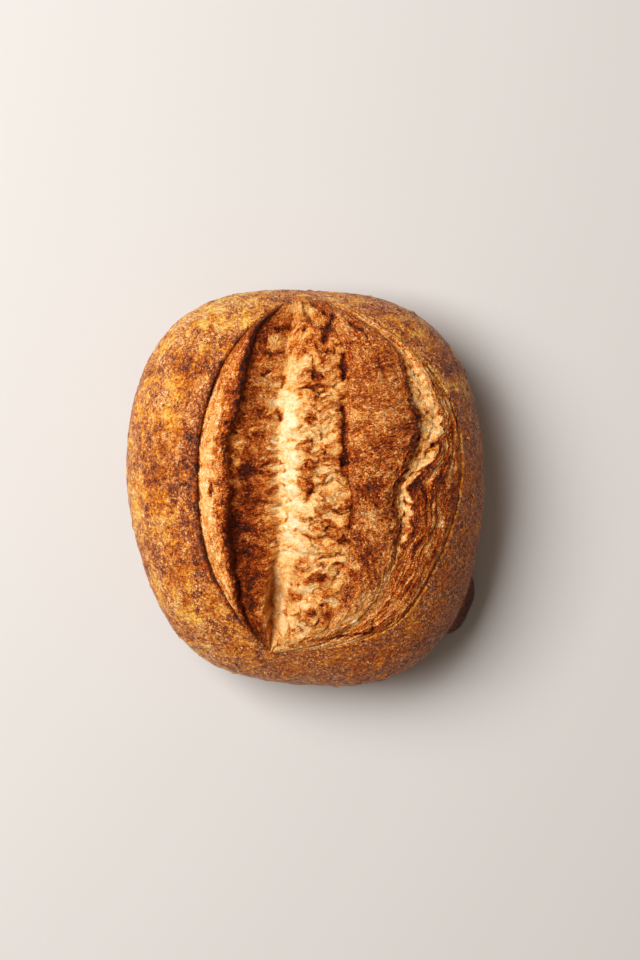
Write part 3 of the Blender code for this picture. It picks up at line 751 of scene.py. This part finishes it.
# The lip is lower along the right edge, and lowest at the far end, where the skin held.
right_edge = step_up(np.cos(theta), -0.2, 0.1)
healed_lip = step_up(theta, math.radians(60), math.radians(70))
healed_lip *= 1 - step_up(theta, math.radians(96), math.radians(100))
lifts -= np.maximum(lifts, 0.0) * np.maximum(0.75 * healed_lip, 0.4 * right_edge)[:, None]
settled = np.minimum(plain[..., 2] / WAIST_HEIGHT, 1.0) * (1 - fall_off)
lifts += settled * (0.7 * grain(plain, 34.0, 0.0) + 0.5 * grain(plain, 11.0, 21.0, 2))
lifts += np.minimum(plain[..., 2] / 6.0, 1.0) * (1 - fall_off) * 0.28 * grain(plain, 3.0, 22.0, 2)
print("crust rows:", sweeps.shape[1])

# %% [markdown]
# ## Blisters
#
# Steam lifts the wet skin into small blisters, from the torn edge to the waist. The largest stand proud
# enough to catch the light one by one, so they are low domes in the mesh. The finer ones are left to the
# material, because a mesh that is fine enough for them would be many times as heavy.

# %% Blisters
BLISTERS = 90
BLISTER_RADII = (1.2, 2.8)
# A blister's height as a share of its radius
BLISTER_RISE = 0.32
# How far down they lie, as a share of the way from the lip to a sweep just under the waist
BLISTER_DROPS = (0.05, 1.0)
LOWEST_BLISTER = 1.62

rng = np.random.default_rng(11)
blister_angles = rng.uniform(-math.pi, math.pi, BLISTERS)
blister_drops = rng.uniform(*BLISTER_DROPS, BLISTERS)
blister_first = np.interp(blister_angles, edge_angle, edge_sweep, period=2 * math.pi)
blister_sweeps = blister_first + (LOWEST_BLISTER - blister_first) * blister_drops
blister_centres = body_points(blister_angles, blister_sweeps)
blister_radii = rng.uniform(*BLISTER_RADII, BLISTERS)
raised = np.zeros_like(sweeps)
for centre, radius in zip(blister_centres, blister_radii):
    near = np.abs(plain - centre).max(axis=-1) < radius
    gap = np.linalg.norm(plain[near] - centre, axis=-1) / radius
    dome = BLISTER_RISE * radius * np.maximum(1 - gap**2, 0.0)
    raised[near] = np.maximum(raised[near], dome)
lifts += raised
skin = plain + outward * lifts[..., None]
print("blisters up to", raised.max().round(2), "mm high")

# %% [markdown]
# ## The bake of the skin
#
# The skin's tone is patchy on the scale of a thumb. It is darkest at the torn edge beside the ear and at the
# foot that burst out at the base, and lighter on the upper left and far sides. The near right is browner, as
# painted shade on the side away from the window. An image could be painted for this, but an attribute needs
# no unwrapping: each vertex carries a tone that is worked out from its height and its side. The right and
# near sides are more even than the rest, so another attribute says how patchy each place is.

# %% The skin's tones
left_side = step_up(-np.cos(thetas), -0.2, 0.5)
upper = step_up(plain[..., 2], 5.0, 45.0)
patchy = 1 - 0.65 * step_up(np.cos(thetas) - np.sin(thetas), 0.2, 1.1)
skin_tone = 0.505 + patchy * (0.16 * grain(plain, 22.0, 23.0, 2) + 0.12 * grain(plain, 7.0, 24.0, 2))
ear_band = np.exp(-((away - 7.0) / 8.0) ** 2) * left_side
ear_band *= np.exp(-((plain[..., 1] - 25.0) / 50.0) ** 2)
skin_tone -= 0.02 * ear_band
# Browner at the near right, as painted shade away from the window; lighter on the left, at the far end
# and on each blister
skin_tone += 0.06 * step_up(np.cos(thetas), 0.0, 0.9) * step_up(-plain[..., 1], -40.0, 60.0)
skin_tone -= 0.14 * left_side * step_up(away, 14.0, 50.0) * upper
skin_tone -= 0.15 * step_up(plain[..., 1], 60.0, 100.0) * upper
skin_tone -= 0.06 * (raised > 0.1)
# The torn edge is pale on the right and dark beside the ear.
right_lip = np.exp(-((away - 0.1) / 0.4) ** 2) * (1 - left_side) * (1 - healed_lip[:, None])
skin_tone -= 0.14 * right_lip
skin_tone += 0.25 * np.exp(-((away - 0.2) / 1.3) ** 2) * left_side
# The foot that burst out, and the rest of the base
foot = np.exp(-(((thetas - FOOT_ANGLE) / (FOOT_HALF_ANGLE * 1.2)) ** 4))
foot *= 1 - step_up(plain[..., 2], 14.0, 28.0)
skin_tone += 0.40 * foot
skin_tone += 0.15 * (1 - step_up(plain[..., 2], 2.0, 16.0))
print("tones from", skin_tone.min().round(2), "to", skin_tone.max().round(2))

# %% [markdown]
# ## The crust as a mesh
#
# The crust is laid out as the bloom was, and merging closes its seam. Two open rims are left. The one under
# the base is closed by a face, and the one along the score sinks into the loaf as the bloom's does.

# %% Build the crust
CRUST_INSET = 0.96
# A rim lower than this is the base's.
BASE_RIM_BELOW = 5.0

bm, column, row = flat_sheet(AROUND, sweeps.shape[1] - 1)
floats_on(bm, "bake", skin_tone[column, row])
floats_on(bm, "peeled", ear_band[column, row])
floats_on(bm, "patchy", patchy[column, row])
lay_out(bm, skin[column, row])
rims = [edge for edge in bm.edges if edge.is_boundary]
base_rim = [edge for edge in rims if edge.verts[0].co.z < BASE_RIM_BELOW]
cup_rim = [edge for edge in rims if edge.verts[0].co.z >= BASE_RIM_BELOW]
bmesh.ops.contextual_create(bm, geom=base_rim)
sink_rim(bm, cup_rim, CRUST_INSET)
crust = new_piece("crust", bm)

# %% [markdown]
# ## Materials as expressions
#
# A material is a small calculation, and a calculation reads best as one. The class below wraps a node's
# output, so that `tone + 0.3 * spots` adds the Math nodes by itself. Every other node comes from one
# method, which takes the node's type, its settings and the values or links of its sockets.

# %% The shader classes
def linear(colour):
    """Screen values of 0 to 255 as the linear numbers that a shader uses."""
    return tuple((c / 255 / 12.92) if c < 10.3 else ((c / 255 + 0.055) / 1.055) ** 2.4 for c in colour)


def set_stops(elements, stops):
    """Gives a colour ramp its stops of (place, (red, green, blue)) in 0 to 255."""
    while len(elements) < len(stops):
        elements.new(0.5)
    for element, (place, colour) in zip(elements, stops):
        element.position = place
        element.color = (*linear(colour), 1.0)


class Signal:
    """A node's output that can be added, subtracted and multiplied."""

    def __init__(self, recipe, socket):
        self.recipe = recipe
        self.socket = socket

    def math(self, operation, *others):
        """The result of a Math node on this and the others."""
        numbers = dict(enumerate((self, *others)))
        return self.recipe.node("ShaderNodeMath", {"operation": operation}, numbers)

    def __add__(self, other):
        return self.math("ADD", other)

    def __sub__(self, other):
        return self.math("SUBTRACT", other)

    def __mul__(self, other):
        return self.math("MULTIPLY", other)

    def __rsub__(self, other):
        return (self * -1.0) + other

    __radd__ = __add__
    __rmul__ = __mul__

    def clipped(self):
        """Kept between 0 and 1."""
        return self.math("MINIMUM", 1.0).math("MAXIMUM", 0.0)

    def above(self, low, high):
        """0 below low, 1 above high, and a ramp between."""
        return ((self - low) * (1.0 / (high - low))).clipped()


class Recipe:
    """A material and the nodes that it is made from."""

    def __init__(self, name):
        self.material = bpy.data.materials.new(name)
        self.material.use_nodes = True
        self.tree = self.material.node_tree
        self.shader = self.tree.nodes["Principled BSDF"]

    def feed(self, socket, value):
        """Links a signal to a socket, or sets a constant on it."""
        if isinstance(value, Signal):
            self.tree.links.new(value.socket, socket)
        else:
            socket.default_value = value

    def node(self, kind, settings, inputs, output=0):
        """Adds a node, with its settings first, and gives back one of its outputs."""
        node = self.tree.nodes.new(kind)
        for name, value in settings.items():
            if name == "stops":
                set_stops(node.color_ramp.elements, value)
            else:
                setattr(node, name, value)
        for name, value in inputs.items():
            self.feed(node.inputs[name], value)
        return Signal(self, node.outputs[output])

    def attribute(self, name):
        """A number that the mesh carries on its vertices."""
        return self.node("ShaderNodeAttribute", {"attribute_name": name}, {}, "Fac")

    def place(self, stretch=(1.0, 1.0, 1.0), output="Object"):
        """Where each point is: in metres, or on the section as shares of the score's length."""
        where = self.node("ShaderNodeTexCoord", {}, {}, output)
        return self.node("ShaderNodeMapping", {}, {"Vector": where, "Scale": stretch})

    def noise(self, where, size, detail=2.0, rough=0.5, warp=0.0):
        """Noise of 0 to 1 with grains of a size in the units of the place."""
        sockets = {"Vector": where, "Scale": 1.0 / size, "Detail": detail, "Roughness": rough,
                   "Distortion": warp}
        return self.node("ShaderNodeTexNoise", {}, sockets, "Fac")

    def cells(self, where, size, output="Distance"):
        """The distance to the nearest of many scattered points."""
        return self.node("ShaderNodeTexVoronoi", {}, {"Vector": where, "Scale": 1.0 / size}, output)

    def chips(self, where, size):
        """A random number of 0 to 1 for each of many small cells."""
        return self.cells(where, size, "Color")

    def torn(self, where, size, reach):
        """The place, pushed about by noise, so that cells read there get ragged edges."""
        push = self.node("ShaderNodeTexNoise", {}, {"Vector": where, "Scale": 1.0 / size}, "Color")
        offset = self.node("ShaderNodeVectorMath", {"operation": "MULTIPLY_ADD"},
                           {0: push, 1: (reach, reach, reach), 2: (-reach / 2, -reach / 2, -reach / 2)})
        return self.node("ShaderNodeVectorMath", {"operation": "ADD"}, {0: where, 1: offset})

    def glint_flecks(self, where, size, patchiness):
        """Small dots, one to a cell, that come and go in patches; they lighten the tone as painted glints."""
        dots = 1.0 - self.cells(where, size).above(0.14, 0.34)
        return dots * self.noise(where, patchiness, 1.0).above(0.42, 0.60)

    def mix(self, share, first, second):
        """The first colour, with a share of 0 to 1 of the second."""
        return self.node("ShaderNodeMix", {"data_type": "RGBA"}, {0: share, 6: first, 7: second}, 2)

    def ramp(self, value, stops):
        """The colour that lies at a value of 0 to 1 between the stops."""
        return self.node("ShaderNodeValToRGB", {"stops": stops}, {"Fac": value}, "Color")

    def finish(self, piece, colour, roughness, height, relief):
        """Connects the shader and gives the material to a piece; relief is the bump's depth in metres."""
        bump = self.node("ShaderNodeBump", {}, {"Height": height, "Distance": relief, "Strength": 1.0})
        self.feed(self.shader.inputs["Base Color"], colour)
        self.feed(self.shader.inputs["Roughness"], roughness)
        self.feed(self.shader.inputs["Normal"], bump)
        piece.data.materials.append(self.material)


# %% [markdown]
# ## Torn crumb
#
# Baking takes crumb along a path of colours: cream, straw, gold, amber, brown, and at last burnt. Crust takes
# a rosier one, with purple in its darkest parts. So the bloom needs two ramps, and the mesh already carries
# each point's place on them. The rosier one shows in patches, mostly where the bake is dark. The material
# adds the fine grain: fibres across the slope, streaks along the right side and a sandy toast everywhere.
# Pale dots and cream on the finest grains are painted glints.

# %% The bloom's material
BAKED_CRUMB = (
    (0.00, (255, 240, 214)),
    (0.12, (250, 220, 170)),
    (0.24, (248, 189, 103)),
    (0.36, (239, 153, 55)),
    (0.48, (216, 111, 30)),
    (0.60, (186, 75, 14)),
    (0.72, (146, 44, 4)),
    (0.83, (98, 20, 1)),
    (0.92, (50, 12, 6)),
    (1.00, (26, 18, 26)),
)
BAKED_CRUST = (
    (0.00, (255, 238, 212)),
    (0.12, (252, 214, 160)),
    (0.24, (246, 185, 112)),
    (0.36, (231, 149, 72)),
    (0.48, (206, 110, 46)),
    (0.60, (176, 77, 25)),
    (0.72, (139, 48, 11)),
    (0.83, (96, 23, 6)),
    (0.92, (52, 13, 9)),
    (1.00, (30, 21, 31)),
)
CRUST_GLINT = (1.0, 0.60, 0.26, 1.0)
# The cream of painted glints on the finest grains
PAINTED_GLINT = (*linear((255, 210, 174)), 1.0)

crumb = Recipe("torn_crumb")
bake = crumb.attribute("bake")
fibre = crumb.attribute("fibre")
streak = crumb.attribute("streak")
raft_skin = crumb.attribute("skin")
here = crumb.place()
ragged_here = crumb.torn(here, 0.0014, 0.0016)
sandy = crumb.noise(ragged_here, 0.0017, 3.0, 0.7, 0.6)
chips = crumb.chips(ragged_here, 0.0014)
fine = crumb.noise(here, 0.0006, 2.0, 0.6)
stroke = crumb.noise(crumb.place((1.0, 1.4, 1.0), "UV"), 0.0125, 3.0, 0.7, 2.6)
pulled = crumb.noise(crumb.place((1.0, 3.0, 1.0), "UV"), 0.020, 3.0, 0.75, 2.0)
combed = crumb.noise(crumb.place((5.0, 1.0, 1.0), "UV"), 0.050, 2.0, 0.6, 0.8)
# Pale dots that lighten the crumb as painted glints, and raise small bumps
glint_flecks = crumb.glint_flecks(here, 0.0018, 0.0060)
spread = (
    (sandy - 0.5) * (0.9 - 0.4 * fibre - 0.4 * raft_skin - 0.3 * streak)
    + (chips - 0.5) * 0.10
    + (stroke - 0.5) * raft_skin * 1.2
    + (pulled - 0.5) * fibre * 0.9
    + (combed - 0.5) * streak * 0.9
    + (fine - 0.5) * (1.0 - 0.4 * fibre - 0.4 * raft_skin)
    - glint_flecks * (0.14 + 0.08 * raft_skin)
)
crumb_tone = (bake + 0.02 + spread * (0.3 + 1.2 * bake.above(0.05, 0.45))).clipped()
height = (
    0.5 * sandy
    + 0.2 * chips
    + 0.4 * stroke * raft_skin
    + 0.5 * pulled * fibre
    + 0.3 * combed * streak
    + 0.4 * fine
    + 0.3 * glint_flecks
) * (0.45 + 0.55 * bake.above(0.08, 0.40))
crumb.shader.inputs["Subsurface Weight"].default_value = 0.4
crumb.shader.inputs["Subsurface Radius"].default_value = (1.0, 0.72, 0.48)
crumb.shader.inputs["Subsurface Scale"].default_value = 0.002
crumb.shader.inputs["Specular IOR Level"].default_value = 0.26
crumb.shader.inputs["Specular Tint"].default_value = CRUST_GLINT
crusty = crumb.noise(here, 0.0055, 3.0, 0.7, 1.0) + (chips - 0.5) * 0.2
crusty = (crusty + 0.20 * bake - 0.10).above(0.42, 0.62)
crumb_colour = crumb.mix(crusty, crumb.ramp(crumb_tone, BAKED_CRUMB), crumb.ramp(crumb_tone, BAKED_CRUST))
# Painted glints: the highest grains of the fine noise turn cream
painted_glints = fine.above(0.62, 0.72) * (0.12 + 0.38 * raft_skin + 0.14 * fibre)
crumb_colour = crumb.mix(painted_glints, crumb_colour, PAINTED_GLINT)
crumb.finish(bloom, crumb_colour, 0.60 - 0.30 * crumb_tone, height, 0.0030)

# %% [markdown]
# ## Blistered skin
#
# The skin browns along two paths at once: one from yellow through gold to brown, and a rosier one to a
# mahogany that is nearly purple. Patches of both lie side by side, so two ramps are mixed by noise. The
# mottling is as fine as the blisters, about 2 mm. The blisters stand in clusters with plain golden skin
# between them. Pale flecks and cream tips among them are painted glints. Skin is smoother than crumb, so it
# also glints on each bump.

# %% The crust's material
GOLDEN_SKIN = (
    (0.00, (255, 212, 108)),
    (0.18, (250, 175, 54)),
    (0.34, (230, 134, 26)),
    (0.48, (197, 90, 12)),
    (0.62, (156, 55, 5)),
    (0.76, (112, 33, 4)),
    (0.88, (78, 20, 6)),
    (1.00, (42, 12, 8)),
)
ROSY_SKIN = (
    (0.00, (255, 222, 170)),
    (0.18, (246, 176, 100)),
    (0.34, (224, 132, 56)),
    (0.48, (190, 90, 30)),
    (0.62, (150, 57, 18)),
    (0.76, (108, 35, 16)),
    (0.88, (76, 23, 17)),
    (1.00, (42, 14, 16)),
)
BLISTER_GLINT = (1.0, 0.62, 0.33, 1.0)

hide = Recipe("blistered_skin")
bake = hide.attribute("bake")
peeled = hide.attribute("peeled")
patchy = hide.attribute("patchy")
here = hide.place()
ragged_here = hide.torn(here, 0.0014, 0.0014)
mottle = hide.noise(ragged_here, 0.0016, 3.0, 0.75, 0.6)
chips = hide.chips(ragged_here, 0.0012)
patch = hide.noise(here, 0.007, 3.0, 0.6, 0.5)
fine = hide.noise(here, 0.0006, 2.0, 0.6)
bubbles = hide.cells(here, 0.0022)
# Pale dots that lighten the skin as painted glints, and raise small bumps
pale_glint_flecks = hide.glint_flecks(here, 0.0019, 0.0050)
cluster = (hide.noise(here, 0.011, 3.0, 0.65, 0.8) + 0.06 * peeled).above(0.43, 0.56)
hide_tone = (
    bake - 0.01 - 0.12 * patchy
    + 0.24 * cluster * patchy
    + (mottle - 0.5) * (0.9 + 1.3 * cluster)
    + (chips - 0.5) * 0.26
    + (patch - 0.5) * 0.9 * patchy
    + (fine - 0.5) * (1.1 + 0.9 * cluster)
    + (bubbles - 0.45) * 0.24
    - pale_glint_flecks * (0.14 + 0.30 * cluster)
).clipped()
height = 0.6 * mottle + 0.2 * chips - 0.5 * bubbles + 0.4 * fine + 0.3 * pale_glint_flecks
hide.shader.inputs["Specular IOR Level"].default_value = 0.34
hide.shader.inputs["Specular Tint"].default_value = BLISTER_GLINT
rosy = hide.noise(here, 0.0060, 3.0, 0.7, 1.0) + (chips - 0.5) * 0.2 + 0.20 * peeled
rosy = (rosy + 0.14 * cluster - 0.08).above(0.42, 0.58)
skin_colour = hide.mix(rosy, hide.ramp(hide_tone, GOLDEN_SKIN), hide.ramp(hide_tone, ROSY_SKIN))
# Painted glints: the highest fine grains turn cream, most among the blisters
painted_glints = fine.above(0.61, 0.71) * (0.16 + 0.54 * cluster)
skin_colour = hide.mix(painted_glints, skin_colour, PAINTED_GLINT)
hide.finish(crust, skin_colour, 0.24 + 0.2 * patch, height, 0.0026)

# %% [markdown]
# ## Standing in for the solid
#
# Both pieces ride on the loaf's one body and take the place of its plain solid.

# %% Ride and replace
for piece in (crust, bloom):
    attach(piece, "root")
    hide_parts("loaf")

# %% [markdown]
# ## Camera, floor and light
#
# The picture is taken straight down from 1.2 m over the table. The loaf lies a little left of the camera's
# axis and below it. The light is one large window to the upper left, and the room's warm walls fill the
# shadows. The scale of the picture holds at the height of the loaf's waist.

# %% Camera
CAMERA_HEIGHT = 1200.0
CAMERA_OVER = (8.53, 4.72)
PICTURE_PIXELS = (640, 960)
MM_PER_PIXEL = 0.581
SENSOR = 36.0

camera_data = bpy.data.cameras.new("overhead")
camera_data.sensor_width = SENSOR
camera_data.lens = SENSOR * (CAMERA_HEIGHT - WAIST_HEIGHT) / (PICTURE_PIXELS[1] * MM_PER_PIXEL)
camera_data.clip_start = 0.01
camera = bpy.data.objects.new("overhead", camera_data)
camera.location = (CAMERA_OVER[0] * MM, CAMERA_OVER[1] * MM, CAMERA_HEIGHT * MM)
bpy.context.scene.collection.objects.link(camera)
bpy.context.scene.camera = camera
print("lens:", round(camera_data.lens, 1), "mm")

# %% Floor
FLOOR_COLOUR = (200, 197, 194)
FLOOR_REACH = 3.0

bm = bmesh.new()
bmesh.ops.create_grid(bm, x_segments=1, y_segments=1, size=FLOOR_REACH)
floor_mesh = bpy.data.meshes.new("floor")
bm.to_mesh(floor_mesh)
bm.free()
floor = bpy.data.objects.new("floor", floor_mesh)
bpy.context.scene.collection.objects.link(floor)
paint = Recipe("pale_floor")
paint.shader.inputs["Base Color"].default_value = (*linear(FLOOR_COLOUR), 1.0)
paint.shader.inputs["Roughness"].default_value = 0.9
floor_mesh.materials.append(paint.material)

# %% Light
WINDOW_FROM = Vector((-0.62, 0.26, 1.0))
WINDOW_DISTANCE = 1.9
WINDOW_SIZE = 1.25
WINDOW_POWER = 57.0
WINDOW_COLOUR = (1.0, 0.995, 0.985)
ROOM_COLOUR = (1.0, 0.81, 0.65, 1.0)
ROOM_STRENGTH = 0.20

window_data = bpy.data.lights.new("window", "AREA")
window_data.shape = "SQUARE"
window_data.size = WINDOW_SIZE
window_data.energy = WINDOW_POWER
window_data.color = WINDOW_COLOUR
window = bpy.data.objects.new("window", window_data)
window.location = WINDOW_FROM.normalized() * WINDOW_DISTANCE
window.rotation_euler = WINDOW_FROM.to_track_quat("Z", "Y").to_euler()
bpy.context.scene.collection.objects.link(window)

room = bpy.data.worlds.new("room")
room.use_nodes = True
room.node_tree.nodes["Background"].inputs["Color"].default_value = ROOM_COLOUR
room.node_tree.nodes["Background"].inputs["Strength"].default_value = ROOM_STRENGTH
bpy.context.scene.world = room
bpy.context.scene.view_settings.view_transform = "Standard"
